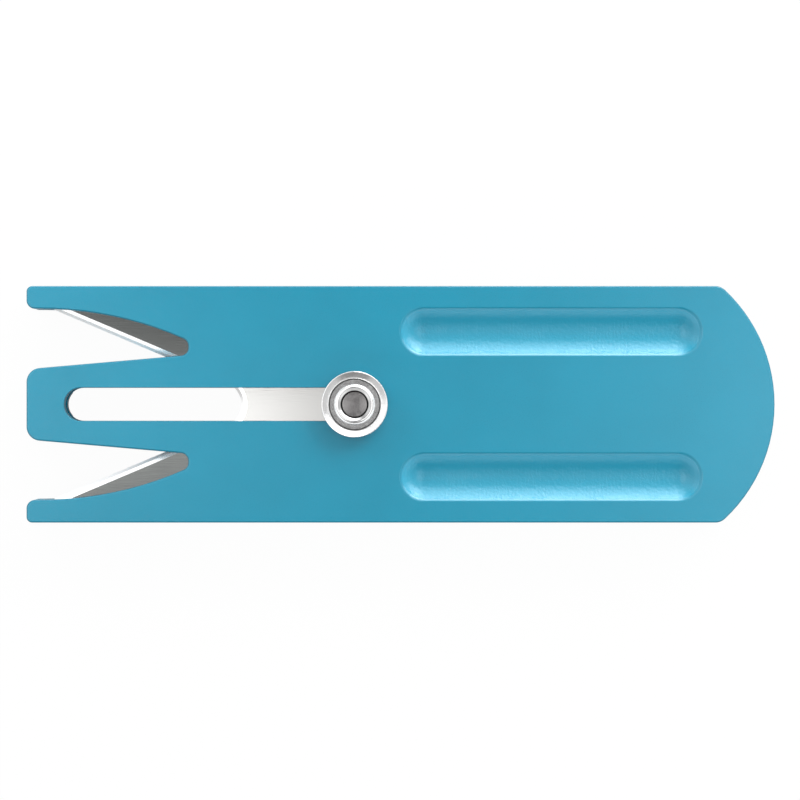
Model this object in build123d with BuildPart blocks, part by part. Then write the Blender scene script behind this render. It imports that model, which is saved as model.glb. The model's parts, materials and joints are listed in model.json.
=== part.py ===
from build123d import *

import os
from math import atan, sin, sqrt

# A retractable divot repair tool: a steel fork slides out of a flat aluminium case.
# X runs along the tool, with the prongs at -X and the rounded butt at +X. Y runs across it.
# Z points up, out of the thumb side. The origin is the middle of the flat back face.
# Every size is in millimetres.

os.makedirs("parts", exist_ok=True)

# Gaps
SLIDE_GAP = 0.05  # between pieces that slide past each other
SEAT_GAP = 0.02  # between pieces that are screwed or pressed together
OVERRUN = 1.0  # how far a cut runs past the end that it opens through

# Case, plan view
CASE_LENGTH = 80.0
CASE_WIDTH = 25.3
BUTT_RADIUS = 16.78
BUTT_CORNER = 1.5
TIP_HALF_WIDTH = 3.77  # middle prong, at its tip
MID_PRONG_TAPER = 0.087  # how fast the middle prong's side moves out along X
MID_PRONG_CORNER = 1.5
NOTCH_FLOOR_X = -22.7
NOTCH_CORNER = 0.85
PRONG_INNER_Y = 10.22  # outer prong's inner edge, where it runs straight
PRONG_STRAIGHT_X = -38.5  # where that edge starts to bow inwards
PRONG_BOW_RADIUS = 38.0
PRONG_INNER_CORNER = 0.9
PRONG_OUTER_CORNER = 0.6

# Case, layers from the back
FLOOR_THICKNESS = 1.8
CHANNEL_HEIGHT = 1.6
FRONT_THICKNESS = 2.6
EDGE_RADIUS = 0.18
SLOT_EDGE_RADIUS = 0.08
SEAM_CHAMFER = 0.12
CHANNEL_HALF_WIDTH = 10.9
CHANNEL_END_X = 21.0
CHANNEL_CORNER = 1.5

# Finger grooves, cut with a ball-nosed tool
GROOVE_RADIUS = 3.3
GROOVE_DEPTH = 1.2
GROOVE_Y = 7.76
GROOVE_START_X = 0.0
GROOVE_END_X = 32.2
GROOVE_LIP_RADIUS = 0.3

# Slider
STUD_X = -4.9
TRAVEL = 27.85
SLOT_WIDTH = 3.56
SHOE_LENGTH = 6.4
RETAINER_RADIUS = 2.9
RETAINER_RECESS_DEPTH = 0.9

# Fork
FORK_THICKNESS = 1.5
FORK_TIP_X = -37.8
FORK_REAR_X = 20.0
FORK_TIP_CORNER = 0.25
FORK_REAR_CORNER = 1.5
FORK_EDGE = 0.12
GAP_APEX_X = -13.22  # where the two edges of the gap would meet
GAP_SLOPE = 0.423  # how fast each edge moves out towards the tips
GAP_ROOT_RADIUS = 2.5
BEVEL_WIDTH = 0.65  # the whole bevel, in plan
BEVEL_DROP = 0.07  # down to the honed edge
HONE_WIDTH = 0.3
HONE_DROP = 0.1

# Guide bushes, which tie the covers together through slots in the fork
BUSH_X = -10.5
BUSH_Y = 7.5
BUSH_RADIUS = 1.5
BUSH_SEAT_BACK = 0.6
BUSH_SEAT_FRONT = 0.5
STOP_GAP = 0.2  # left at each end of a fork slot

# Fasteners: shank radius, head radius, socket width across flats
BUSH_SCREW = (0.8, 1.5, 0.9)
BUTT_SCREW = (1.0, 1.9, 1.3)
SCREW_LENGTH = 5.0
HEAD_SINK = 0.05  # how far the heads lie below the back face
CLEARANCE_HOLE = 0.1  # added to a shank's radius where it passes through
THREAD_DEPTH_LEFT = 0.7  # front cover left over a screw's blind hole
BUTT_SCREW_SPOTS = [(25.5, 0.0), (35.5, 7.0), (35.5, -7.0)]
DOWEL_RADIUS = 0.5
DOWEL_LENGTH = 3.0
DOWEL_X = (-36.0, 8.0)

# Detent
DETENT_Y = 3.7
DETENT_X = -14.0
BALL_RADIUS = 0.8
BALL_BITE = 0.3  # how deep the ball sits in its track
DIMPLE_DEPTH = 0.3
DIMPLE_RADIUS = 0.5
SPRING_WIRE_RADIUS = 0.1
SPRING_RADIUS = 0.6
SPRING_TURNS = 3
SPRING_ROOF = 0.5  # front cover left over the spring's hole

# Thumb stud
FLANGE_RADIUS = 3.53
FLANGE_LIFT = 0.2  # from the front cover up to the flange
FLANGE_THICKNESS = 1.1
FLANGE_EDGE = 0.06
RIM_WIDTH = 0.75
RIM_DROP = 0.35  # how far the rim slopes down towards the middle
RIM_INNER_EDGE = 0.06
FLANGE_WEB = 0.55  # flange left under its dish
FLANGE_GROOVE = (0.14, 0.3)  # width and depth of the turned groove at the foot of the rim
DRAG_WASHER_INSET = 0.25
COLLAR_RADIUS = 2.2
COLLAR_BORE = 1.46
COLLAR_HEIGHT = 1.05
COLLAR_SHOULDER = 0.42  # rounding of the collar's outer edge
COLLAR_SLOPE_WIDTH = 0.3
COLLAR_SLOPE_DROP = 0.24
COLLAR_WEB = 0.24  # collar left under the post's head
POST_RADIUS = 1.1
POST_HEAD_RADIUS = 1.36
POST_HEAD_HEIGHT = 0.6
POST_HEAD_CROWN = 0.05
POST_HEAD_EDGE = 0.06
POST_SCREW = (0.6, 1.2)  # shank and head radius
POST_SCREW_LENGTH = 2.6
POST_THREAD_LENGTH = 2.5
POST_SCREW_SLOT = (0.3, 0.25)  # width and depth

# Heights and places that follow from the sizes above
FRONT_X = -CASE_LENGTH / 2
BUTT_X = CASE_LENGTH / 2
HALF_WIDTH = CASE_WIDTH / 2
SEAM_Z = FLOOR_THICKNESS + CHANNEL_HEIGHT
TOP_Z = SEAM_Z + FRONT_THICKNESS
FORK_Z = FLOOR_THICKNESS + SLIDE_GAP
FORK_TOP_Z = FORK_Z + FORK_THICKNESS
SLOT_LENGTH = TRAVEL + SHOE_LENGTH + 2 * SLIDE_GAP
SLOT_X = STUD_X - TRAVEL / 2
BALL_Z = FORK_TOP_Z - BALL_BITE + BALL_RADIUS
DETENT_TRACK_RADIUS = BALL_RADIUS + SLIDE_GAP
FLANGE_Z = TOP_Z + FLANGE_LIFT
FLANGE_BOSS_Z = TOP_Z - SLIDE_GAP
FLANGE_WEB_Z = FLANGE_Z + FLANGE_WEB
COLLAR_Z = FLANGE_WEB_Z + SEAT_GAP
POST_HEAD_Z = COLLAR_Z + COLLAR_WEB + SEAT_GAP
WASHER_TOP_Z = RETAINER_RECESS_DEPTH - SLIDE_GAP
WASHER_Z = WASHER_TOP_Z - (POST_SCREW[1] - POST_SCREW[0]) - SLIDE_GAP
DOWEL_Y = (CHANNEL_HALF_WIDTH + HALF_WIDTH) / 2
FORK_HALF_WIDTH = CHANNEL_HALF_WIDTH - SLIDE_GAP
STAND = (Align.CENTER, Align.CENTER, Align.MIN)
SMALL = 0.001

BACK_FACE = Plane(origin=(0, 0, 0), x_dir=(1, 0, 0), z_dir=(0, 0, -1))
FRONT_UNDERSIDE = Plane(origin=(0, 0, SEAM_Z), x_dir=(1, 0, 0), z_dir=(0, 0, -1))
STUD_SECTION = Plane(origin=(STUD_X, 0, 0), x_dir=(1, 0, 0), z_dir=(0, -1, 0))
STUD_AXIS = Axis((STUD_X, 0, 0), (0, 0, 1))


def both_sides(x, y):
    """The two spots at x, to the left and right of the centre line."""
    return [(x, y), (x, -y)]


def corners(sketch, x, y):
    """A symmetric sketch's vertices at x and at plus or minus y."""
    return sketch.vertices().filter_by(lambda v: abs(v.X - x) < SMALL and abs(abs(v.Y) - y) < SMALL)


def prong_inner_edge(x):
    """Half-width between the outer prongs at x: an arc that runs out parallel to X."""
    along = x - PRONG_STRAIGHT_X
    return PRONG_INNER_Y - PRONG_BOW_RADIUS + sqrt(PRONG_BOW_RADIUS**2 - along**2)


def case_plan():
    """The outline that both covers share."""
    shoulder_x = BUTT_X - BUTT_RADIUS + sqrt(BUTT_RADIUS**2 - HALF_WIDTH**2)
    butt_mid_y = HALF_WIDTH / 2
    butt_mid_x = BUTT_X - BUTT_RADIUS + sqrt(BUTT_RADIUS**2 - butt_mid_y**2)
    notch_y = TIP_HALF_WIDTH + MID_PRONG_TAPER * (NOTCH_FLOOR_X - FRONT_X)
    bow_mid_x = (NOTCH_FLOOR_X + PRONG_STRAIGHT_X) / 2
    with BuildSketch() as plan:
        with BuildLine():
            prongs = Polyline(
                (FRONT_X, 0),
                (FRONT_X, TIP_HALF_WIDTH),
                (NOTCH_FLOOR_X, notch_y),
                (NOTCH_FLOOR_X, prong_inner_edge(NOTCH_FLOOR_X)),
            )
            bow = ThreePointArc(
                prongs @ 1,
                (bow_mid_x, prong_inner_edge(bow_mid_x)),
                (PRONG_STRAIGHT_X, PRONG_INNER_Y),
            )
            side = Polyline(
                bow @ 1,
                (FRONT_X, PRONG_INNER_Y),
                (FRONT_X, HALF_WIDTH),
                (shoulder_x, HALF_WIDTH),
            )
            ThreePointArc(side @ 1, (butt_mid_x, butt_mid_y), (BUTT_X, 0))
            mirror(about=Plane.XZ)
        make_face()
        fillet(corners(plan, FRONT_X, TIP_HALF_WIDTH), MID_PRONG_CORNER)
        fillet(corners(plan, NOTCH_FLOOR_X, notch_y), NOTCH_CORNER)
        fillet(corners(plan, NOTCH_FLOOR_X, prong_inner_edge(NOTCH_FLOOR_X)), NOTCH_CORNER)
        fillet(corners(plan, FRONT_X, PRONG_INNER_Y), PRONG_INNER_CORNER)
        fillet(corners(plan, FRONT_X, HALF_WIDTH), PRONG_OUTER_CORNER)
        fillet(corners(plan, shoulder_x, HALF_WIDTH), BUTT_CORNER)
    return plan.sketch


def gap_plan(widen):
    """The V gap between the tines, with each edge moved out by widen."""
    half_angle = atan(GAP_SLOPE)
    apex_x = GAP_APEX_X + widen / sin(half_angle)
    mouth_x = FORK_TIP_X - OVERRUN
    mouth_y = GAP_SLOPE * (apex_x - mouth_x)
    with BuildSketch() as gap:
        with BuildLine():
            Polyline((mouth_x, mouth_y), (apex_x, 0), (mouth_x, -mouth_y), close=True)
        make_face()
        fillet(corners(gap, apex_x, 0), GAP_ROOT_RADIUS + widen)
    return gap.sketch


def countersunk_screw(shank_radius, head_radius, length):
    """A countersunk screw without its drive, pointing up, with its head's face at z = 0."""
    head_height = head_radius - shank_radius
    with BuildPart() as screw:
        Cone(head_radius, shank_radius, head_height, align=STAND)
        Cylinder(shank_radius, length, align=STAND)
        chamfer(screw.faces().sort_by(Axis.Z)[-1].edges(), shank_radius / 4)
    return screw.part


def socket_screw(shank_radius, head_radius, socket_width):
    """A countersunk cover screw with a hexagon socket."""
    with BuildPart() as screw:
        add(countersunk_screw(shank_radius, head_radius, SCREW_LENGTH))
        with BuildSketch():
            RegularPolygon(socket_width / 2, 6, major_radius=False)
        extrude(amount=socket_width / 2, mode=Mode.SUBTRACT)
    return screw.part


def slot_shoe(bottom_z, top_z):
    """A slot block with round ends and a hole for the post."""
    with BuildPart() as block:
        with BuildSketch(Plane.XY.offset(bottom_z)):
            with Locations((STUD_X, 0)):
                SlotOverall(SHOE_LENGTH, SLOT_WIDTH - 2 * SLIDE_GAP)
                Circle(POST_RADIUS + SEAT_GAP, mode=Mode.SUBTRACT)
        extrude(amount=top_z - bottom_z)
    return block.part


def detent_spring(y):
    """A short coil spring between a detent ball and the roof of its hole."""
    foot_z = BALL_Z + BALL_RADIUS + SPRING_WIRE_RADIUS + SEAT_GAP
    head_z = TOP_Z - SPRING_ROOF - SPRING_WIRE_RADIUS - SEAT_GAP
    height = head_z - foot_z
    with BuildPart() as spring:
        with BuildLine() as coil:
            Helix(height / SPRING_TURNS, height, SPRING_RADIUS, center=(DETENT_X, y, foot_z))
        with BuildSketch(Plane(origin=coil.line @ 0, z_dir=coil.line % 0)):
            Circle(SPRING_WIRE_RADIUS)
        sweep()
    return spring.part


plan = case_plan()

# Back cover: floor, side walls and the channel that the fork slides in
with BuildPart() as back_cover:
    add(plan)
    extrude(amount=SEAM_Z)
    fillet(back_cover.faces().sort_by(Axis.Z)[0].edges(), EDGE_RADIUS)
    chamfer(back_cover.faces().sort_by(Axis.Z)[-1].edges(), SEAM_CHAMFER)
    with BuildSketch(Plane.XY.offset(FLOOR_THICKNESS)) as channel:
        with Locations((CHANNEL_END_X, 0)):
            Rectangle(
                CHANNEL_END_X - FRONT_X + OVERRUN,
                2 * CHANNEL_HALF_WIDTH,
                align=(Align.MAX, Align.CENTER),
            )
        fillet(corners(channel, CHANNEL_END_X, CHANNEL_HALF_WIDTH), CHANNEL_CORNER)
    extrude(amount=CHANNEL_HEIGHT, mode=Mode.SUBTRACT)
    with BuildSketch():
        with Locations((SLOT_X, 0)):
            SlotOverall(SLOT_LENGTH, SLOT_WIDTH)
    extrude(amount=FLOOR_THICKNESS, mode=Mode.SUBTRACT)
    with BuildSketch():
        with Locations((SLOT_X, 0)):
            SlotCenterToCenter(TRAVEL + 2 * SLIDE_GAP, 2 * (RETAINER_RADIUS + 2 * SLIDE_GAP))
    extrude(amount=RETAINER_RECESS_DEPTH, mode=Mode.SUBTRACT)
    for (shank_radius, head_radius, _), spots in (
        (BUSH_SCREW, both_sides(BUSH_X, BUSH_Y)),
        (BUTT_SCREW, BUTT_SCREW_SPOTS),
    ):
        with Locations(BACK_FACE):
            with Locations(*spots):
                CounterSinkHole(
                    shank_radius + CLEARANCE_HOLE,
                    head_radius + HEAD_SINK + SEAT_GAP,
                    depth=SEAM_Z,
                    counter_sink_angle=90,
                )
    with Locations(Plane.XY.offset(FLOOR_THICKNESS)):
        with Locations(*both_sides(BUSH_X, BUSH_Y)):
            Hole(BUSH_RADIUS + SEAT_GAP, depth=BUSH_SEAT_BACK)
    with Locations(Plane.XY.offset(SEAM_Z)):
        for dowel_x in DOWEL_X:
            with Locations(*both_sides(dowel_x, DOWEL_Y)):
                Hole(DOWEL_RADIUS + SEAT_GAP, depth=DOWEL_LENGTH / 2)

# Front cover: the thumb side, with the slot and the two finger grooves
with BuildPart() as front_cover:
    with BuildSketch(Plane.XY.offset(SEAM_Z)):
        add(plan)
    extrude(amount=FRONT_THICKNESS)
    chamfer(front_cover.faces().sort_by(Axis.Z)[0].edges(), SEAM_CHAMFER)
    fillet(front_cover.faces().sort_by(Axis.Z)[-1].edges(), EDGE_RADIUS)
    with BuildSketch(Plane.XY.offset(SEAM_Z)):
        with Locations((SLOT_X, 0)):
            SlotOverall(SLOT_LENGTH, SLOT_WIDTH)
    extrude(amount=FRONT_THICKNESS, mode=Mode.SUBTRACT)
    slot_mouth = front_cover.faces().sort_by(Axis.Z)[-1].inner_wires()[0]
    fillet(slot_mouth.edges(), SLOT_EDGE_RADIUS)
    groove_z = TOP_Z - GROOVE_DEPTH + GROOVE_RADIUS
    mouth_half_width = sqrt(GROOVE_RADIUS**2 - (GROOVE_RADIUS - GROOVE_DEPTH) ** 2)
    first_x = GROOVE_START_X + mouth_half_width
    last_x = GROOVE_END_X - mouth_half_width
    for groove_y in (GROOVE_Y, -GROOVE_Y):
        with Locations(((first_x + last_x) / 2, groove_y, groove_z)):
            Cylinder(GROOVE_RADIUS, last_x - first_x, rotation=(0, 90, 0), mode=Mode.SUBTRACT)
        with Locations((first_x, groove_y, groove_z), (last_x, groove_y, groove_z)):
            Sphere(GROOVE_RADIUS, mode=Mode.SUBTRACT)
    top_face = front_cover.faces().filter_by(GeomType.PLANE).sort_by(Axis.Z)[-1]
    groove_lips = [
        edge
        for wire in top_face.inner_wires()
        if abs(wire.center().Y) > SLOT_WIDTH
        for edge in wire.edges()
    ]
    fillet(groove_lips, GROOVE_LIP_RADIUS)
    with Locations(FRONT_UNDERSIDE):
        with Locations(*both_sides(BUSH_X, BUSH_Y)):
            Hole(BUSH_RADIUS + SEAT_GAP, depth=BUSH_SEAT_FRONT)
            Hole(BUSH_SCREW[0] + SEAT_GAP, depth=FRONT_THICKNESS - THREAD_DEPTH_LEFT)
        with Locations(*BUTT_SCREW_SPOTS):
            Hole(BUTT_SCREW[0] + SEAT_GAP, depth=FRONT_THICKNESS - THREAD_DEPTH_LEFT)
        with Locations(*both_sides(DETENT_X, DETENT_Y)):
            Hole(DETENT_TRACK_RADIUS, depth=FRONT_THICKNESS - SPRING_ROOF)
        for dowel_x in DOWEL_X:
            with Locations(*both_sides(dowel_x, DOWEL_Y)):
                Hole(DOWEL_RADIUS + SEAT_GAP, depth=DOWEL_LENGTH / 2)

# Fork: one ground plate with two tines, a bevelled gap, guide slots and detent tracks
with BuildPart() as fork:
    with BuildSketch(Plane.XY.offset(FORK_Z)) as plate:
        with Locations(((FORK_TIP_X + FORK_REAR_X) / 2, 0)):
            Rectangle(FORK_REAR_X - FORK_TIP_X, 2 * FORK_HALF_WIDTH)
        add(gap_plan(0), mode=Mode.SUBTRACT)
        fillet(corners(plate, FORK_REAR_X, FORK_HALF_WIDTH), FORK_REAR_CORNER)
        fillet(plate.vertices().group_by(Axis.X)[0], FORK_TIP_CORNER)
        with Locations((STUD_X, 0)):
            Circle(POST_RADIUS + SEAT_GAP, mode=Mode.SUBTRACT)
        with Locations(*both_sides(BUSH_X + TRAVEL / 2, BUSH_Y)):
            SlotCenterToCenter(
                TRAVEL + 2 * STOP_GAP,
                2 * (BUSH_RADIUS + SLIDE_GAP),
                mode=Mode.SUBTRACT,
            )
    extrude(amount=FORK_THICKNESS)
    for broad_face in (fork.faces().sort_by(Axis.Z)[0], fork.faces().sort_by(Axis.Z)[-1]):
        chamfer(broad_face.outer_wire().edges(), FORK_EDGE)
    hone_z = FORK_TOP_Z - BEVEL_DROP
    for low_z, low_widen, high_z, high_widen in (
        (hone_z - HONE_DROP, 0, hone_z, HONE_WIDTH),
        (hone_z, HONE_WIDTH, FORK_TOP_Z, BEVEL_WIDTH),
    ):
        with BuildSketch(Plane.XY.offset(low_z)):
            add(gap_plan(low_widen))
        with BuildSketch(Plane.XY.offset(high_z)):
            add(gap_plan(high_widen))
        loft(ruled=True, mode=Mode.SUBTRACT)
    for track_y in (DETENT_Y, -DETENT_Y):
        with Locations((DETENT_X + TRAVEL / 2, track_y, BALL_Z)):
            Cylinder(DETENT_TRACK_RADIUS, TRAVEL, rotation=(0, 90, 0), mode=Mode.SUBTRACT)
        for stop_x in (DETENT_X, DETENT_X + TRAVEL):
            with Locations((stop_x, track_y, BALL_Z)):
                Sphere(DETENT_TRACK_RADIUS, mode=Mode.SUBTRACT)
            with Locations((stop_x, track_y, FORK_TOP_Z - BALL_BITE - DIMPLE_DEPTH)):
                Cone(SMALL, DIMPLE_RADIUS, DIMPLE_DEPTH, align=STAND, mode=Mode.SUBTRACT)

# Guide bushes
bushes = {}
for side, bush_y in (("left", BUSH_Y), ("right", -BUSH_Y)):
    with BuildPart() as bush:
        with BuildSketch(Plane.XY.offset(FLOOR_THICKNESS - BUSH_SEAT_BACK + SEAT_GAP)):
            with Locations((BUSH_X, bush_y)):
                Circle(BUSH_RADIUS)
                Circle(BUSH_SCREW[0] + CLEARANCE_HOLE, mode=Mode.SUBTRACT)
        extrude(amount=BUSH_SEAT_BACK + CHANNEL_HEIGHT + BUSH_SEAT_FRONT - 2 * SEAT_GAP)
    bushes[side] = bush

# Cover screws
with BuildPart() as bush_screws:
    with Locations(Plane.XY.offset(HEAD_SINK)):
        with Locations(*both_sides(BUSH_X, BUSH_Y)):
            add(socket_screw(*BUSH_SCREW))
with BuildPart() as butt_screws:
    with Locations(Plane.XY.offset(HEAD_SINK)):
        with Locations(*BUTT_SCREW_SPOTS):
            add(socket_screw(*BUTT_SCREW))

# Dowel pins in the long side walls
with BuildPart() as dowel_pins:
    for dowel_x in DOWEL_X:
        for spot_x, spot_y in both_sides(dowel_x, DOWEL_Y):
            with Locations((spot_x, spot_y, SEAM_Z)):
                Cylinder(DOWEL_RADIUS, DOWEL_LENGTH - 2 * SEAT_GAP)

# Detent balls and springs
balls = {}
springs = {}
for side, detent_y in (("left", DETENT_Y), ("right", -DETENT_Y)):
    with BuildPart() as ball:
        with Locations((DETENT_X, detent_y, BALL_Z)):
            Sphere(BALL_RADIUS)
    balls[side] = ball
    springs[side] = detent_spring(detent_y)

# Slot shoes: the front one carries the stud, the back one is held by the retaining washer
front_slide_shoe = slot_shoe(FORK_TOP_Z + SEAT_GAP, FLANGE_BOSS_Z - SEAT_GAP)
back_slide_shoe = slot_shoe(WASHER_TOP_Z + SEAT_GAP, FORK_Z - SEAT_GAP)

# Drag washer under the flange
with BuildPart() as drag_washer:
    with BuildSketch(Plane.XY.offset(TOP_Z + SLIDE_GAP)):
        with Locations((STUD_X, 0)):
            Circle(FLANGE_RADIUS - DRAG_WASHER_INSET)
            Circle(SLOT_WIDTH / 2 + 2 * SLIDE_GAP, mode=Mode.SUBTRACT)
    extrude(amount=FLANGE_Z - TOP_Z - SLIDE_GAP - SEAT_GAP)

# Thumb flange: a turned disc with an inward-sloping rim and a boss that stands on the front shoe
with BuildPart() as thumb_flange:
    rim_z = FLANGE_Z + FLANGE_THICKNESS
    rim_inner_radius = FLANGE_RADIUS - RIM_WIDTH
    boss_radius = SLOT_WIDTH / 2 - SLIDE_GAP
    groove_width, groove_depth = FLANGE_GROOVE
    with BuildSketch(STUD_SECTION) as section:
        with BuildLine():
            Polyline(
                (COLLAR_BORE, FLANGE_BOSS_Z),
                (boss_radius, FLANGE_BOSS_Z),
                (boss_radius, FLANGE_Z),
                (FLANGE_RADIUS, FLANGE_Z),
                (FLANGE_RADIUS, rim_z),
                (rim_inner_radius, rim_z - RIM_DROP),
                (rim_inner_radius, FLANGE_WEB_Z - groove_depth),
                (rim_inner_radius - groove_width, FLANGE_WEB_Z - groove_depth),
                (rim_inner_radius - groove_width, FLANGE_WEB_Z),
                (COLLAR_BORE, FLANGE_WEB_Z),
                close=True,
            )
        make_face()
        fillet(corners(section, FLANGE_RADIUS, rim_z), FLANGE_EDGE)
        fillet(corners(section, rim_inner_radius, rim_z - RIM_DROP), RIM_INNER_EDGE)
    revolve(axis=STUD_AXIS)

# Thumb collar: a rounded ring that clamps the flange, with a tube through its bore
with BuildPart() as thumb_collar:
    crest_z = COLLAR_Z + COLLAR_HEIGHT
    slope_radius = COLLAR_BORE + COLLAR_SLOPE_WIDTH
    with BuildSketch(STUD_SECTION) as section:
        with BuildLine():
            Polyline(
                (POST_RADIUS + SEAT_GAP, FLANGE_BOSS_Z + SEAT_GAP),
                (COLLAR_BORE - SEAT_GAP, FLANGE_BOSS_Z + SEAT_GAP),
                (COLLAR_BORE - SEAT_GAP, COLLAR_Z),
                (COLLAR_RADIUS, COLLAR_Z),
                (COLLAR_RADIUS, crest_z),
                (slope_radius, crest_z),
                (COLLAR_BORE, crest_z - COLLAR_SLOPE_DROP),
                (COLLAR_BORE, COLLAR_Z + COLLAR_WEB),
                (POST_RADIUS + SEAT_GAP, COLLAR_Z + COLLAR_WEB),
                close=True,
            )
        make_face()
        fillet(corners(section, COLLAR_RADIUS, crest_z), COLLAR_SHOULDER)
    revolve(axis=STUD_AXIS)

# Slide post: a shank through the whole stack, with a crowned head in the collar and a tapped foot
with BuildPart() as slide_post:
    foot_z = WASHER_TOP_Z + SEAT_GAP
    head_top_z = POST_HEAD_Z + POST_HEAD_HEIGHT
    with BuildSketch(STUD_SECTION) as section:
        with BuildLine():
            outline = Polyline(
                (0, head_top_z),
                (0, foot_z),
                (POST_RADIUS, foot_z),
                (POST_RADIUS, POST_HEAD_Z),
                (POST_HEAD_RADIUS, POST_HEAD_Z),
                (POST_HEAD_RADIUS, head_top_z - POST_HEAD_CROWN),
            )
            crown_radius = (POST_HEAD_RADIUS**2 + POST_HEAD_CROWN**2) / (2 * POST_HEAD_CROWN)
            crown_mid_x = POST_HEAD_RADIUS / 2
            crown_mid_z = head_top_z - crown_radius + sqrt(crown_radius**2 - crown_mid_x**2)
            ThreePointArc(outline @ 1, (crown_mid_x, crown_mid_z), outline @ 0)
        make_face()
        fillet(corners(section, POST_HEAD_RADIUS, head_top_z - POST_HEAD_CROWN), POST_HEAD_EDGE)
    revolve(axis=STUD_AXIS)
    with BuildSketch(Plane.XY.offset(WASHER_TOP_Z)):
        with Locations((STUD_X, 0)):
            Circle(POST_SCREW[0] + SEAT_GAP)
    extrude(amount=POST_THREAD_LENGTH, mode=Mode.SUBTRACT)

# Retaining washer, countersunk for the post screw
with BuildPart() as retaining_washer:
    with BuildSketch(Plane.XY.offset(WASHER_Z)):
        with Locations((STUD_X, 0)):
            Circle(RETAINER_RADIUS)
    extrude(amount=WASHER_TOP_Z - WASHER_Z)
    with Locations(Plane(origin=(STUD_X, 0, WASHER_Z), x_dir=(1, 0, 0), z_dir=(0, 0, -1))):
        CounterSinkHole(
            POST_SCREW[0] + SEAT_GAP,
            POST_SCREW[1] + SEAT_GAP,
            depth=RETAINER_RECESS_DEPTH,
            counter_sink_angle=90,
        )

# Post screw, slotted
slot_width, slot_depth = POST_SCREW_SLOT
with BuildPart() as post_screw:
    with Locations((STUD_X, 0, WASHER_Z)):
        add(countersunk_screw(*POST_SCREW, POST_SCREW_LENGTH))
    with BuildSketch(Plane.XY.offset(WASHER_Z)):
        with Locations((STUD_X, 0)):
            Rectangle(slot_width, 2 * RETAINER_RADIUS)
    extrude(amount=slot_depth, mode=Mode.SUBTRACT)

pieces = {
    "front_cover": front_cover.part,
    "back_cover": back_cover.part,
    "guide_bush_left": bushes["left"].part,
    "guide_bush_right": bushes["right"].part,
    "bush_screws": bush_screws.part,
    "butt_screws": butt_screws.part,
    "dowel_pins": dowel_pins.part,
    "detent_ball_left": balls["left"].part,
    "detent_ball_right": balls["right"].part,
    "detent_spring_left": springs["left"],
    "detent_spring_right": springs["right"],
    "fork": fork.part,
    "slide_post": slide_post.part,
    "thumb_flange": thumb_flange.part,
    "thumb_collar": thumb_collar.part,
    "drag_washer": drag_washer.part,
    "front_slide_shoe": front_slide_shoe,
    "back_slide_shoe": back_slide_shoe,
    "retaining_washer": retaining_washer.part,
    "post_screw": post_screw.part,
}
for name, piece in pieces.items():
    piece.label = name
    export_step(piece, f"parts/{name}.step")
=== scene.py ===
"""Looks of a slide-out divot repair tool: anodised case, ground steel fork and polished thumb stud.

Everything is in metres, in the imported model's own frame: X along the tool with its prongs at -X,
Y across it, and Z up out of the thumb side.
"""

import json
from math import pi

import bpy
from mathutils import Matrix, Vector

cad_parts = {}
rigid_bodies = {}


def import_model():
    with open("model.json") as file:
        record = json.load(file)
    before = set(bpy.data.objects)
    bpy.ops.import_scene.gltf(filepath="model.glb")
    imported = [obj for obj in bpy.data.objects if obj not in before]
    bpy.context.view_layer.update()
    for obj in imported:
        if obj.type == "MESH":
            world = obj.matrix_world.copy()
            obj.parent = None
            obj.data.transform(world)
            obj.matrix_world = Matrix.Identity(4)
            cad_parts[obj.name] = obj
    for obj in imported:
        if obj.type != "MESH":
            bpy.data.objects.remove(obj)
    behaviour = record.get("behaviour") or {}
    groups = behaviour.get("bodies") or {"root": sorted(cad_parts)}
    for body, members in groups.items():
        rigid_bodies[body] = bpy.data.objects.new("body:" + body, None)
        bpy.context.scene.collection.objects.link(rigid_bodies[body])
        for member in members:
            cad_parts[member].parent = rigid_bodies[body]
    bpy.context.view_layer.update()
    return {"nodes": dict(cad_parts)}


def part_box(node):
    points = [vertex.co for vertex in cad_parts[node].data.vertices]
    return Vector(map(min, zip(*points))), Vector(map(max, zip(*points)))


MM = 0.001

# Camera: straight above the thumb side
CAMERA_HEIGHT = 415 * MM  # above the front cover
CAMERA_LENS = 174.7
AIM_OFFSET = Vector((-0.06, 0.465, 0)) * MM

# Colours, linear
TURQUOISE = (0.0015, 0.172, 0.260)
# The fork's colours: the ground plate darkened as painted shade, the lane brightened as a painted reflection
GROUND_STEEL_PAINTED_SHADE = (0.235, 0.245, 0.24)
POLISHED_STEEL_PAINTED_SHEEN = (0.70, 0.695, 0.68)
# Painted highlight: the fork's bevel, brighter than any steel
BEVEL_STEEL_PAINTED_HIGHLIGHT = (0.97, 0.97, 0.97)
CHROME = (0.95, 0.95, 0.95)
# Painted shade: the stud's recess floor
RECESS_STEEL_PAINTED_SHADE = (0.52, 0.52, 0.52)
DARK_STEEL = (0.32, 0.31, 0.31)
FASTENER_STEEL = (0.52, 0.52, 0.51)
ACETAL = (0.78, 0.78, 0.75)
FLOOR_GREY = (0.6, 0.6, 0.6)
WHITE = (1.0, 1.0, 1.0)
LIGHTER = 1.05  # how far a finish strays from its colour
DARKER = 0.95

# The part of a noise's range that most of its values fall in
NOISE_MIDDLE = (0.3, 0.7)

# How upright a surface is, as the Z part of its normal, where each look fades in or out
EDGE_STARTS = (0.99, 0.93)  # rounded edges of the case, where shade is painted, from its flat faces
EDGE_ENDS = (0.08, 0.2)  # and down to its walls
BEVEL_STARTS = (0.997, 0.99)  # the fork's bevel, from its flat face
BEVEL_ENDS = (0.75, 0.85)
BEVEL_STEEPER = (0.985, 0.96)  # the rougher step of the bevel
RECESS_FLAT = (0.97, 0.995)  # the stud's recess, painted in shade, from its walls
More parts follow.
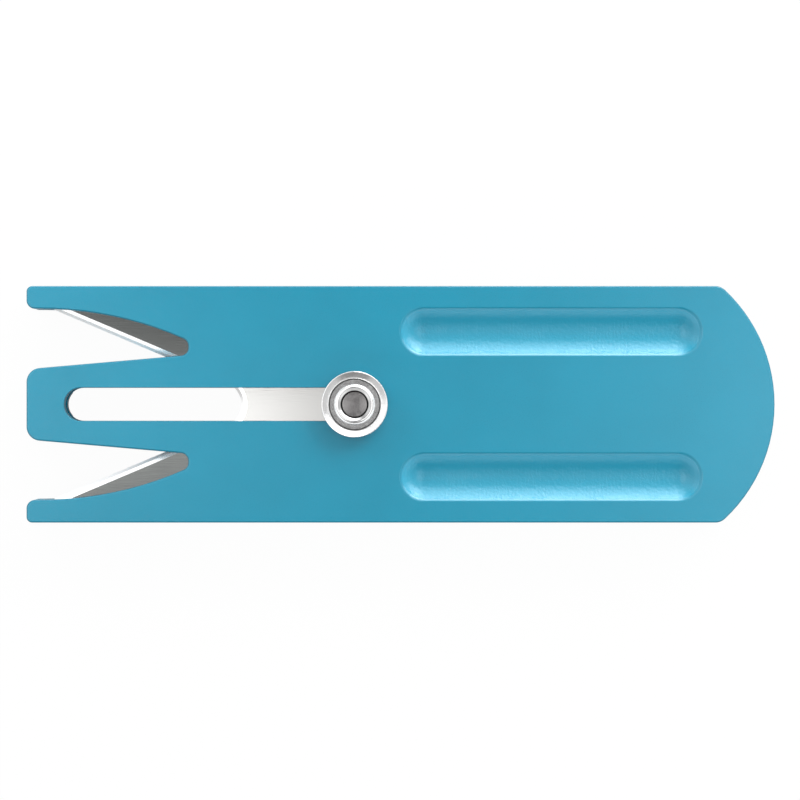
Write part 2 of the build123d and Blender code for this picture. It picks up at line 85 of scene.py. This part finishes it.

# Finger grooves, from the front cover's design, in millimetres
GROOVE_Y = 7.76
GROOVE_HALF_WIDTH = 2.55
GROOVE_FIRST_X = 2.55
GROOVE_LAST_X = 29.65
GROOVE_FADE = (GROOVE_HALF_WIDTH, GROOVE_HALF_WIDTH * 0.9)  # where its own look, with its painted light, fades in
LIP_FADE = (GROOVE_HALF_WIDTH * 1.15, GROOVE_HALF_WIDTH * 1.25)  # and out to the face's look
FEED_PITCH = 0.4  # between the ball mill's chatter marks
FEED_WOBBLE = 14.0  # in radians
FEED_PATCHES = (0.35, 0.7)  # the noise levels over which the chatter comes up
PLUNGE_PITCH = 0.5  # between the rings where the mill left the groove
PLUNGE_RADII = (2.6, 1.4)  # where those rings fade in
PLUNGE_HEIGHT = 0.5  # of the rings, as a share of the chatter's
MOTTLE_HEIGHT = 8.0  # of the broad unevenness, likewise

# Anodised surface: satin on the faces, duller in the milled grooves
CLOUD_SHARE = 0.7  # of the unevenness of the colour
SPECKLE_SHARE = 0.3
SPECKLE_RANGE = (0.25, 0.75)
ANODISED_ROUGHNESS = (0.27, 0.33)
COAT_ROUGHNESS = 0.17
COAT_IOR = 1.72
GROOVE_ROUGHNESS = 0.28
GROOVE_PAINTED_LIGHT = 1.26  # painted light: the grooves' colour is raised so their slopes read as lit
EDGE_PAINTED_SHADE = 0.75  # painted shade: the share of the colour and the shine left on the rounded edges
GRAIN_DEPTH = 0.004  # of the blasted grain and the tool marks, in millimetres

# Middle lane of the fork plate, polished where the slot shoes bear on it, its colour painted bright as a
# painted reflection, in millimetres
LANE_HALF_WIDTH = 2.0
LANE_BLEND = 0.8
LANE_POLISH = 0.3  # of the bevel's roughness left in the lane
LANE_ROUGHNESS = 0.05

# The rest of the fork
GROUND_ROUGHNESS = 0.1
BEVEL_ROUGHNESS = (0.2, 0.5)
LINES_STRETCH = (0.05, 1, 1)  # grinding lines run along the tool
LINES_DEPTH = 0.0004  # in millimetres

# The stud's turned steps, in millimetres from its axis
POST_EDGE = 1.3
POST_GAP = 1.5
COLLAR_BEVEL = 1.83
RECESS_INNER = 2.2
RECESS_GROOVE = 2.64
RECESS_OUTER = 2.8
SOFT_STEP = 0.02

# Painted shade on those parts: how bright they are, as a share of their metal's colour
RECESS_GROOVE_SHADE = 0.25
COLLAR_BEVEL_SHADE = 0.58
POST_GAP_SHADE = 0.04
POST_EDGE_SHADE = 0.2

# Turned metal, with the lathe's rings in millimetres
TURNED_PITCH = 0.07
TURNED_DEPTH = 0.0002
STUD_ROUGHNESS = 0.2
POST_ROUGHNESS = 0.22
WASHER_ROUGHNESS = 0.25

# Fasteners and slide plastic, with their grain in millimetres
FASTENER_ROUGHNESS = (0.22, 0.34)
FASTENER_GRAIN_DEPTH = 0.002
ACETAL_ROUGHNESS = (0.42, 0.55)
ACETAL_GRAIN_DEPTH = 0.003

# Light from the surroundings: brightness by direction, with Z up
ALL_ROUND = 0.74
OVERHEAD_FROM = (0.8, 0.92)  # height where the overhead part takes over from the rest
OVERHEAD = 0.1  # straight above, in a dim band across the tool
OVERHEAD_SIDES = 1.9  # beyond the dim band
BAND_TO_BUTT = (0.03, 0.15)  # slope along X where the band ends
BAND_TO_PRONGS = (-0.04, -0.2)
STRIP_LIGHT = 1.9  # long strip overhead, along the tool
STRIP_BUTT_SHARE = 0.55  # how bright the strip stays on its butt side
STRIP_BUTT_END = (-0.012, -0.045)
STRIP_FAR_EDGE = (0.012, 0.005)  # slope along Y where the strip ends
STRIP_NEAR_EDGE = (-0.032, -0.022)
WINDOW_DIRECTION = (0.12, 0.93, 0.35)  # a soft bright window on the +Y side
WINDOW_SPREAD = (0.75, 1.0)
WINDOW = 2.6
SIDE_WINDOW_DIRECTION = (-0.66, 0.33, 0.67)  # a fainter one above the prongs
SIDE_WINDOW_SPREAD = (0.8, 0.97)
SIDE_WINDOW = 0.6
WALL = 0.8  # low glow on the -Y side
WALL_SIDE = (-0.1, -0.6)
WALL_TOP = (0.5, 0.2)
BUTT_GLOW = 0.5  # low glow on the +X side
BUTT_SIDE = (0.3, 0.8)
PRONG_GLOW = 0.6  # low glow on the -X side
PRONG_SIDE = (-0.5, -0.9)
END_GLOW_TOP = (0.6, 0.3)
STAND_DIRECTION = (0.0, -0.77, 0.64)  # a dark stand behind the camera
STAND_SPREAD = (0.86, 0.97)
STAND_DIM = 0.42
LOWEST_SLOPE = 0.05  # keeps the overhead slopes finite at the horizon

# The floor, with a glow of its own for the camera alone: its share at low and at steep angles
FLOOR_SIZE = 4.0
FLOOR_DROP = 0.02 * MM
FLOOR_VIEW = (0.8, 0.99)
FLOOR_GLOW = (0.4, 0.97)


class Graph:
    """A material's or world's node tree, with short calls to add and link nodes."""

    def __init__(self, tree):
        self.tree = tree
        tree.nodes.clear()

    def node(self, kind, **settings):
        made = self.tree.nodes.new("ShaderNode" + kind)
        for name, value in settings.items():
            setattr(made, name, value)
        return made

    def feed(self, socket, value):
        """Puts a number, a colour or another node's output into an input."""
        if isinstance(value, bpy.types.NodeSocket):
            self.tree.links.new(value, socket)
        else:
            socket.default_value = value

    def math(self, operation, first, second=0.0):
        made = self.node("Math", operation=operation)
        self.feed(made.inputs[0], first)
        self.feed(made.inputs[1], second)
        return made.outputs[0]

    def ramp(self, value, span, out_low=0.0, out_high=1.0):
        """A smooth step from out_low to out_high as value goes from one end of span to the other."""
        low, high = span
        made = self.node("MapRange", interpolation_type="SMOOTHSTEP")
        self.feed(made.inputs["Value"], value)
        self.feed(made.inputs["From Min"], low)
        self.feed(made.inputs["From Max"], high)
        self.feed(made.inputs["To Min"], out_low)
        self.feed(made.inputs["To Max"], out_high)
        return made.outputs["Result"]

    def mix(self, share, first, second):
        """A colour between first and second."""
        made = self.node("Mix", data_type="RGBA")
        self.feed(made.inputs["Factor"], share)
        self.feed(made.inputs[6], first)
        self.feed(made.inputs[7], second)
        return made.outputs[2]

    def product(self, first, *others):
        for other in others:
            first = self.math("MULTIPLY", first, other)
        return first

    def total(self, first, *others):
        for other in others:
            first = self.math("ADD", first, other)
        return first

    def step(self, value, edge, rising=True):
        """A sharp but soft-edged step up, or down, at edge."""
        span = (edge - SOFT_STEP, edge + SOFT_STEP)
        return self.ramp(value, span if rising else span[::-1])

    def seen(self):
        """1 where the camera looks straight at it, 0 for every reflection and bounce."""
        return self.node("LightPath").outputs["Is Camera Ray"]

    def blend(self, share, first, second):
        """A surface or background between the nodes first and second."""
        made = self.node("MixShader")
        self.feed(made.inputs[0], share)
        self.feed(made.inputs[1], first.outputs[0])
        self.feed(made.inputs[2], second.outputs[0])
        return made.outputs[0]

    def upright(self):
        """The Z part of the surface's normal: 1 where it faces up."""
        return self.axes(self.node("NewGeometry").outputs["True Normal"])[2]

    def millimetres(self, stretch=(1, 1, 1)):
        """The object's own coordinates in millimetres, squeezed by stretch."""
        coordinates = self.node("TexCoord")
        scaled = self.node("VectorMath", operation="MULTIPLY")
        self.feed(scaled.inputs[0], coordinates.outputs["Object"])
        self.feed(scaled.inputs[1], tuple(s / MM for s in stretch))
        return scaled.outputs[0]

    def noise(self, vector, per_mm, detail=2.0, roughness=0.5):
        made = self.node("TexNoise")
        self.feed(made.inputs["Vector"], vector)
        self.feed(made.inputs["Scale"], per_mm)
        self.feed(made.inputs["Detail"], detail)
        self.feed(made.inputs["Roughness"], roughness)
        return made.outputs["Fac"]

    def axes(self, vector):
        made = self.node("SeparateXYZ")
        self.feed(made.inputs[0], vector)
        return made.outputs

    def dot(self, first, second):
        made = self.node("VectorMath", operation="DOT_PRODUCT")
        self.feed(made.inputs[0], first)
        self.feed(made.inputs[1], second)
        return made.outputs["Value"]

    def distance(self, x, y):
        """The length of the vector (x, y)."""
        return self.math("SQRT", self.total(self.product(x, x), self.product(y, y)))

    def bump(self, height, depth_mm, normal=None):
        made = self.node("Bump")
        self.feed(made.inputs["Height"], height)
        self.feed(made.inputs["Distance"], depth_mm * MM)
        if normal is not None:
            self.feed(made.inputs["Normal"], normal)
        return made.outputs["Normal"]


def rgba(colour):
    return (*colour, 1.0)


def new_material(name, **principled):
    """A material with a principled surface; returns it, its graph and its surface node."""
    material = bpy.data.materials.new(name)
    material.use_nodes = True
    graph = Graph(material.node_tree)
    surface = graph.node("BsdfPrincipled")
    output = graph.node("OutputMaterial")
    graph.feed(output.inputs["Surface"], surface.outputs[0])
    for socket, value in principled.items():
        graph.feed(surface.inputs[socket.replace("_", " ")], value)
    return material, graph, surface


def shade(colour, factor):
    return rgba(tuple(channel * factor for channel in colour))


def anodised(name, with_grooves):
    """Satin turquoise anodising over a fine blasted grain, with tool marks in the finger grooves, painted
    light in the grooves and painted shade on the rounded edges.
    """
    material, graph, surface = new_material(
        name,
        Metallic=0.1,
        Specular_IOR_Level=0.0,
        Coat_Roughness=COAT_ROUGHNESS,
        Coat_IOR=COAT_IOR,
    )
    place = graph.millimetres()
    cloud = graph.noise(place, per_mm=0.09, detail=3.0)
    speckle = graph.noise(place, per_mm=9.0, detail=1.0)
    tone = graph.total(graph.product(cloud, CLOUD_SHARE), graph.product(speckle, SPECKLE_SHARE))
    colour = graph.mix(graph.ramp(tone, NOISE_MIDDLE), shade(TURQUOISE, DARKER), shade(TURQUOISE, LIGHTER))
    tilt = graph.upright()
    # Painted shade on the case's rounded edges: a mask from how upright the surface is
    edge = graph.product(graph.ramp(tilt, EDGE_STARTS), graph.ramp(tilt, EDGE_ENDS))
    normal = graph.bump(graph.noise(place, per_mm=7.0, detail=3.0), GRAIN_DEPTH)
    if with_grooves:
        inside, off_lip, marks = groove_marks(graph, place)
        # Painted light: the grooves are painted brighter than the faces
        colour = graph.mix(inside, colour, shade(TURQUOISE, GROOVE_PAINTED_LIGHT))
        dulled = graph.ramp(inside, (0.0, 1.0), COAT_ROUGHNESS, GROOVE_ROUGHNESS)
        graph.feed(surface.inputs["Coat Roughness"], dulled)
        normal = graph.bump(marks, GRAIN_DEPTH, normal)
        edge = graph.product(edge, off_lip)
    # Painted shade: the rounded edges get a darker colour and less coat
    graph.feed(surface.inputs["Base Color"], graph.mix(edge, colour, shade(TURQUOISE, EDGE_PAINTED_SHADE)))
    graph.feed(surface.inputs["Coat Weight"], graph.ramp(edge, (0.0, 1.0), 1.0, EDGE_PAINTED_SHADE))
    graph.feed(surface.inputs["Roughness"], graph.ramp(speckle, SPECKLE_RANGE, *ANODISED_ROUGHNESS))
    graph.feed(surface.inputs["Normal"], normal)
    graph.feed(surface.inputs["Coat Normal"], normal)
    return material


def groove_marks(graph, place):
    """Returns masks for inside the grooves, where light is painted, and off their lips, and the height of
    the tool marks.
    """
    x, y, _ = graph.axes(place)
    off_line = graph.math("SUBTRACT", graph.math("ABSOLUTE", y), GROOVE_Y)
    past_end = graph.math("MAXIMUM", graph.math("SUBTRACT", x, GROOVE_LAST_X), 0.0)
    before_start = graph.math("MAXIMUM", graph.math("SUBTRACT", GROOVE_FIRST_X, x), 0.0)
    off_centre = graph.distance(graph.total(past_end, before_start), off_line)
    inside = graph.ramp(off_centre, GROOVE_FADE)
    off_lip = graph.ramp(off_centre, LIP_FADE)
    wobble = graph.product(graph.noise(place, per_mm=2.2, detail=4.0, roughness=0.65), FEED_WOBBLE)
    turns = graph.total(graph.product(x, 2 * pi / FEED_PITCH), wobble)
    patchy = graph.ramp(graph.noise(place, per_mm=0.5, detail=3.0), FEED_PATCHES)
    off_plunge = graph.distance(graph.math("SUBTRACT", x, GROOVE_LAST_X), off_line)
    near_plunge = graph.ramp(off_plunge, PLUNGE_RADII)
    chatter = graph.product(graph.math("SINE", turns), patchy, graph.math("SUBTRACT", 1.0, near_plunge))
    rings = graph.math("SINE", graph.product(off_plunge, 2 * pi / PLUNGE_PITCH))
    mottle = graph.noise(place, per_mm=2.6, detail=2.0)
    marks = graph.total(
        chatter,
        graph.product(rings, near_plunge, PLUNGE_HEIGHT),
        graph.product(mottle, MOTTLE_HEIGHT),
    )
    return inside, off_lip, graph.product(marks, inside)


def fork_steel():
    """Ground plate with fine lines along the tool, darkened as painted shade, a polished middle lane painted
    bright as a painted reflection, and a bevel painted near white as a painted highlight.
    """
    material, graph, surface = new_material("fork_steel_look", Metallic=1.0)
    lines = graph.noise(graph.millimetres(LINES_STRETCH), per_mm=9.0, detail=3.0)
    across = graph.math("ABSOLUTE", graph.axes(graph.millimetres())[1])
    lane = graph.ramp(across, (LANE_HALF_WIDTH + LANE_BLEND, LANE_HALF_WIDTH))
    tilt = graph.upright()
    bevel = graph.product(graph.ramp(tilt, BEVEL_STARTS), graph.ramp(tilt, BEVEL_ENDS))
    ground = graph.mix(
        graph.ramp(lines, NOISE_MIDDLE),
        shade(GROUND_STEEL_PAINTED_SHADE, 0.9),
        shade(GROUND_STEEL_PAINTED_SHADE, LIGHTER),
    )
    # Painted reflection: the lane's colour is painted far brighter than the ground plate
    flat = graph.mix(lane, ground, rgba(POLISHED_STEEL_PAINTED_SHEEN))
    # Painted highlight: the bevel is painted near white
    graph.feed(surface.inputs["Base Color"], graph.mix(bevel, flat, rgba(BEVEL_STEEL_PAINTED_HIGHLIGHT)))
    bevel_rough = graph.product(
        bevel,
        graph.ramp(tilt, BEVEL_STEEPER, *BEVEL_ROUGHNESS),
        graph.ramp(lane, (0.0, 1.0), 1.0, LANE_POLISH),
    )
    flat_rough = graph.ramp(lane, (0.0, 1.0), GROUND_ROUGHNESS, LANE_ROUGHNESS)
    graph.feed(surface.inputs["Roughness"], graph.math("MAXIMUM", flat_rough, bevel_rough))
    graph.feed(surface.inputs["Normal"], graph.bump(lines, LINES_DEPTH))
    return material


def turned_steel(name, colour, roughness, centre):
    """Lathe-turned metal with fine rings round a vertical axis through centre.

    Returns the material, its graph, its surface node and the distance from the axis.
    """
    material, graph, surface = new_material(name, Metallic=1.0)
    place = graph.millimetres()
    x, y, _ = graph.axes(place)
    radius = graph.distance(
        graph.math("SUBTRACT", x, centre.x / MM),
        graph.math("SUBTRACT", y, centre.y / MM),
    )
    rings = graph.math("SINE", graph.product(radius, 2 * pi / TURNED_PITCH))
    smear = graph.noise(place, per_mm=1.5, detail=4.0)
    graph.feed(surface.inputs["Base Color"], graph.mix(smear, shade(colour, DARKER), shade(colour, LIGHTER)))
    rough = graph.ramp(smear, NOISE_MIDDLE, roughness * 0.8, roughness * 1.2)
    graph.feed(surface.inputs["Roughness"], rough)
    graph.feed(surface.inputs["Normal"], graph.bump(rings, TURNED_DEPTH))
    return material, graph, surface, radius


def stud_finish(centre):
    """Polished turning, with painted shade in the recess, its groove, the collar bevel and the gap round the
    post.
    """
    material, graph, surface, radius = turned_steel("polished_stud", CHROME, STUD_ROUGHNESS, centre)
    # Painted shade: the recess floor, its groove, the collar bevel and the gap round the post are painted
    # darker
    recess = graph.product(
        graph.step(radius, RECESS_INNER),
        graph.step(radius, RECESS_OUTER, rising=False),
        graph.ramp(graph.upright(), RECESS_FLAT),
    )
    groove = graph.step(radius, RECESS_GROOVE)
    floor = graph.mix(groove, rgba(RECESS_STEEL_PAINTED_SHADE), shade(RECESS_STEEL_PAINTED_SHADE, RECESS_GROOVE_SHADE))
    colour = graph.mix(recess, rgba(CHROME), floor)
    bevel = graph.step(radius, COLLAR_BEVEL, rising=False)
    colour = graph.mix(bevel, colour, shade(CHROME, COLLAR_BEVEL_SHADE))
    gap = graph.step(radius, POST_GAP, rising=False)
    colour = graph.mix(gap, colour, shade(CHROME, POST_GAP_SHADE))
    graph.feed(surface.inputs["Base Color"], colour)
    return material


def post_finish(centre):
    """Dark satin turning, with painted shade making it black towards the edge of the post's head."""
    material, graph, surface, radius = turned_steel("dark_post", DARK_STEEL, POST_ROUGHNESS, centre)
    # Painted shade: a dark ring at the edge of the post's head
    edge = graph.ramp(radius, (POST_EDGE - 2 * SOFT_STEP, POST_EDGE + 2 * SOFT_STEP))
    colour = graph.mix(edge, rgba(DARK_STEEL), shade(DARK_STEEL, POST_EDGE_SHADE))
    graph.feed(surface.inputs["Base Color"], colour)
    return material


def brushed_fasteners():
    """Small stainless parts with a fine random grain."""
    material, graph, surface = new_material("fastener_steel_look", Metallic=1.0)
    place = graph.millimetres()
    grain = graph.noise(place, per_mm=8.0, detail=3.0)
    colour = graph.mix(grain, shade(FASTENER_STEEL, 0.85), shade(FASTENER_STEEL, 1.15))
    graph.feed(surface.inputs["Base Color"], colour)
    graph.feed(surface.inputs["Roughness"], graph.ramp(grain, NOISE_MIDDLE, *FASTENER_ROUGHNESS))
    graph.feed(surface.inputs["Normal"], graph.bump(grain, FASTENER_GRAIN_DEPTH))
    return material


def acetal():
    """Natural slide plastic, slightly waxy."""
    material, graph, surface = new_material("acetal_look", Subsurface_Weight=0.2)
    place = graph.millimetres()
    grain = graph.noise(place, per_mm=4.0, detail=3.0)
    graph.feed(surface.inputs["Base Color"], graph.mix(grain, shade(ACETAL, DARKER), shade(ACETAL, 1.03)))
    graph.feed(surface.inputs["Roughness"], graph.ramp(grain, NOISE_MIDDLE, *ACETAL_ROUGHNESS))
    graph.feed(surface.inputs["Normal"], graph.bump(grain, ACETAL_GRAIN_DEPTH))
    return material


def paint(names, material):
    for name in names:
        for material_slot in nodes[name].material_slots:
            material_slot.material = material


def paint_pieces():
    stud_low, stud_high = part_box("thumb_flange")
    stud_centre = (stud_low + stud_high) / 2
    paint(["front_cover"], anodised("anodised_front", with_grooves=True))
    paint(["back_cover"], anodised("anodised_back", with_grooves=False))
    paint(["fork"], fork_steel())
    paint(["thumb_flange", "thumb_collar"], stud_finish(stud_centre))
    paint(["slide_post"], post_finish(stud_centre))
    washer_finish = turned_steel("turned_washer", FASTENER_STEEL, WASHER_ROUGHNESS, stud_centre)[0]
    paint(["retaining_washer", "post_screw"], washer_finish)
    paint(
        [
            "guide_bush_left",
            "guide_bush_right",
            "bush_screws",
            "butt_screws",
            "dowel_pins",
            "detent_ball_left",
            "detent_ball_right",
            "detent_spring_left",
            "detent_spring_right",
        ],
        brushed_fasteners(),
    )
    paint(["drag_washer", "front_slide_shoe", "back_slide_shoe"], acetal())


def make_floor():
    """A pale matte floor that reads white from straight above."""
    bpy.ops.mesh.primitive_plane_add(size=FLOOR_SIZE, location=(0, 0, -FLOOR_DROP))
    floor = bpy.context.object
    floor.name = "floor"
    material = bpy.data.materials.new("pale_floor")
    material.use_nodes = True
    graph = Graph(material.node_tree)
    matte = graph.node("BsdfDiffuse")
    graph.feed(matte.inputs["Color"], rgba(FLOOR_GREY))
    glow = graph.node("Emission")
    graph.feed(glow.inputs["Color"], rgba(WHITE))
    graph.feed(glow.inputs["Strength"], 1.0)
    from_above = graph.axes(graph.node("NewGeometry").outputs["Incoming"])[2]
    share = graph.product(graph.seen(), graph.ramp(from_above, FLOOR_VIEW, *FLOOR_GLOW))
    output = graph.node("OutputMaterial")
    graph.feed(output.inputs["Surface"], graph.blend(share, matte, glow))
    floor.data.materials.append(material)


def overhead_light(graph, x, y, up):
    """A dim band across the tool with a long strip light along it, bright beyond the band."""
    above = graph.math("MAXIMUM", up, LOWEST_SLOPE)
    along = graph.math("DIVIDE", x, above)
    across = graph.math("DIVIDE", y, above)
    strip = graph.product(
        graph.ramp(across, STRIP_FAR_EDGE),
        graph.ramp(across, STRIP_NEAR_EDGE),
        graph.ramp(along, STRIP_BUTT_END, STRIP_BUTT_SHARE, 1.0),
    )
    band = graph.math(
        "MAXIMUM",
        graph.ramp(along, BAND_TO_BUTT, OVERHEAD, OVERHEAD_SIDES),
        graph.ramp(along, BAND_TO_PRONGS, OVERHEAD, OVERHEAD_SIDES),
    )
    return graph.total(band, graph.product(strip, STRIP_LIGHT - OVERHEAD))


def window_light(graph, direction):
    """Two soft windows."""
    window = graph.ramp(graph.dot(direction, WINDOW_DIRECTION), WINDOW_SPREAD, 0.0, WINDOW)
    side = graph.ramp(graph.dot(direction, SIDE_WINDOW_DIRECTION), SIDE_WINDOW_SPREAD, 0.0, SIDE_WINDOW)
    return graph.total(window, side)


def low_glow(graph, x, y, up):
    """Faint light from low down, on three sides."""
    wall = graph.product(graph.ramp(up, WALL_TOP), graph.ramp(y, WALL_SIDE), WALL)
    ends = graph.total(
        graph.ramp(x, BUTT_SIDE, 0.0, BUTT_GLOW),
        graph.ramp(x, PRONG_SIDE, 0.0, PRONG_GLOW),
    )
    return graph.total(wall, graph.product(graph.ramp(up, END_GLOW_TOP), ends))


def make_world():
    """Soft studio surroundings, with a plain white backdrop for the camera."""
    world = bpy.data.worlds.new("studio")
    bpy.context.scene.world = world
    world.use_nodes = True
    graph = Graph(world.node_tree)
    direction = graph.node("TexCoord").outputs["Generated"]
    x, y, up = graph.axes(direction)
    cap = graph.ramp(up, OVERHEAD_FROM)
    around = graph.product(graph.math("SUBTRACT", 1.0, cap), ALL_ROUND)
    sky = graph.total(graph.product(overhead_light(graph, x, y, up), cap), around)
    stand = graph.ramp(graph.dot(direction, STAND_DIRECTION), STAND_SPREAD, 1.0, STAND_DIM)
    light = graph.product(graph.total(sky, window_light(graph, direction)), stand)
    soft = graph.node("Background")
    graph.feed(soft.inputs["Strength"], graph.total(light, low_glow(graph, x, y, up)))
    white = graph.node("Background")
    graph.feed(white.inputs["Strength"], 1.0)
    output = graph.node("OutputWorld")
    graph.feed(output.inputs["Surface"], graph.blend(graph.seen(), soft, white))


def add_softbox(name, position_mm, size_mm, watts, mirrored=True):
    """A rectangular area light facing the middle of the tool; if not mirrored, no surface reflects it."""
    place = Vector(position_mm) * MM
    data = bpy.data.lights.new(name, "AREA")
    data.shape = "RECTANGLE"
    data.size, data.size_y = (side * MM for side in size_mm)
    data.energy = watts
    lamp = bpy.data.objects.new(name, data)
    lamp.location = place
    lamp.rotation_mode = "QUATERNION"
    lamp.rotation_quaternion = place.to_track_quat("Z", "Y")
    lamp.visible_glossy = mirrored
    bpy.context.scene.collection.objects.link(lamp)


def make_camera():
    data = bpy.data.cameras.new("camera")
    data.lens = CAMERA_LENS
    camera = bpy.data.objects.new("camera", data)
    bpy.context.scene.collection.objects.link(camera)
    case_low, case_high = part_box("front_cover")
    middle = (case_low + case_high) / 2 + AIM_OFFSET
    camera.location = (middle.x, middle.y, case_high.z + CAMERA_HEIGHT)
    bpy.context.scene.camera = camera


for leftover in list(bpy.data.objects):
    bpy.data.objects.remove(leftover)

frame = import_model()
nodes = frame["nodes"]

paint_pieces()
make_floor()
make_world()
add_softbox("key", position_mm=(380, 390, 245), size_mm=(300, 200), watts=2.9, mirrored=False)
add_softbox("key_sheen", position_mm=(350, 420, 245), size_mm=(600, 400), watts=1.4)
add_softbox("low_strip", position_mm=(60, 170, 34), size_mm=(130, 44), watts=0.08)
add_softbox("fill", position_mm=(0, -420, 160), size_mm=(500, 200), watts=1.2, mirrored=False)
add_softbox("left_end", position_mm=(-75, 62, 34), size_mm=(50, 40), watts=0.05, mirrored=False)
add_softbox("right_end", position_mm=(85, 0, 60), size_mm=(40, 90), watts=0.022, mirrored=False)
make_camera()
bpy.context.scene.view_settings.view_transform = "Standard"
